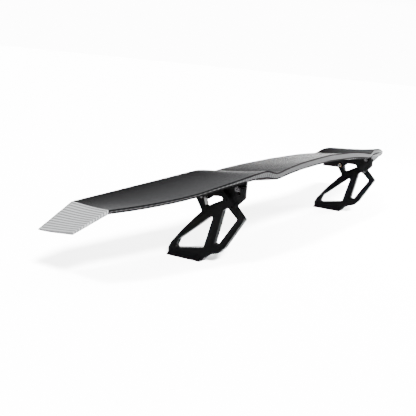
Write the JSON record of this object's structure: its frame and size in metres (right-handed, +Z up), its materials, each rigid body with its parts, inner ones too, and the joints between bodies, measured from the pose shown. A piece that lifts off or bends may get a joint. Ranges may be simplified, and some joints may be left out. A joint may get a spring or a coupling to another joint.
{
  "type": "rear wing",
  "caption": "Racing rear wing: a full-width carbon blade with stepped shoulders and bent-down tips on two deck-mounted open uprights, with adjustable pitch.",
  "frame": {"origin": "on the deck plane under the feet, midway between the two rows of deck screws", "axes": "+X across the car to its right along the span, +Y towards the car's nose, +Z up from the deck"},
  "size_m": [1.556, 0.2444, 0.211],
  "materials": {
    "anodised_frame": "black anodised, satin",
    "gasket_rubber": "matte",
    "zinc_insert": "zinc plated",
    "black_plate": "black anodised, milled",
    "screw_steel": "black oxide",
    "spacer_metal": "black anodised",
    "bush_bronze": "satin",
    "carbon_skin": "carbon laminate under satin lacquer",
    "core_foam": "foam",
    "spar_laminate": "laminate",
    "edge_weave": "silver-grey weave under lacquer",
    "tip_weave": "silver-grey weave under lacquer"
  },
  "bodies": {
    "base": {"upright_left": "anodised_frame", "upright_right": "anodised_frame", "base_gasket_left": "gasket_rubber", "base_gasket_right": "gasket_rubber", "thread_inserts_left": "zinc_insert", "thread_inserts_right": "zinc_insert", "quadrant_plate_left": "black_plate", "quadrant_plate_right": "black_plate", "quadrant_screws_left": "screw_steel", "quadrant_screws_right": "screw_steel", "pivot_screw_left": "screw_steel", "pivot_screw_right": "screw_steel", "pivot_spacer_left": "spacer_metal", "pivot_spacer_right": "spacer_metal"},
    "wing": {"wing_upper_skin": "carbon_skin", "wing_lower_skin": "carbon_skin", "nose_core": "core_foam", "main_spar": "spar_laminate", "trailing_strip": "edge_weave", "rear_core_left": "core_foam", "rear_core_centre": "core_foam", "rear_core_right": "core_foam", "step_rib_left": "spar_laminate", "step_rib_right": "spar_laminate", "hardpoint_left": "spar_laminate", "hardpoint_right": "spar_laminate", "winglet_left": "tip_weave", "winglet_right": "tip_weave", "wing_bracket_left": "black_plate", "wing_bracket_right": "black_plate", "flange_screws_left": "screw_steel", "flange_screws_right": "screw_steel", "pivot_bush_left": "bush_bronze", "pivot_bush_right": "bush_bronze", "clamp_bolt_left": "screw_steel", "clamp_bolt_right": "screw_steel", "clamp_washer_left": "screw_steel", "clamp_washer_right": "screw_steel", "clamp_nut_left": "screw_steel", "clamp_nut_right": "screw_steel"}
  },
  "joints": [
    {"name": "wing_pitch", "type": "hinge", "parent": "base", "child": "wing", "pos_m": [0, -0.028, 0.136], "axis": [1, 0, 0], "range_deg": [0, 7]}
  ]
}
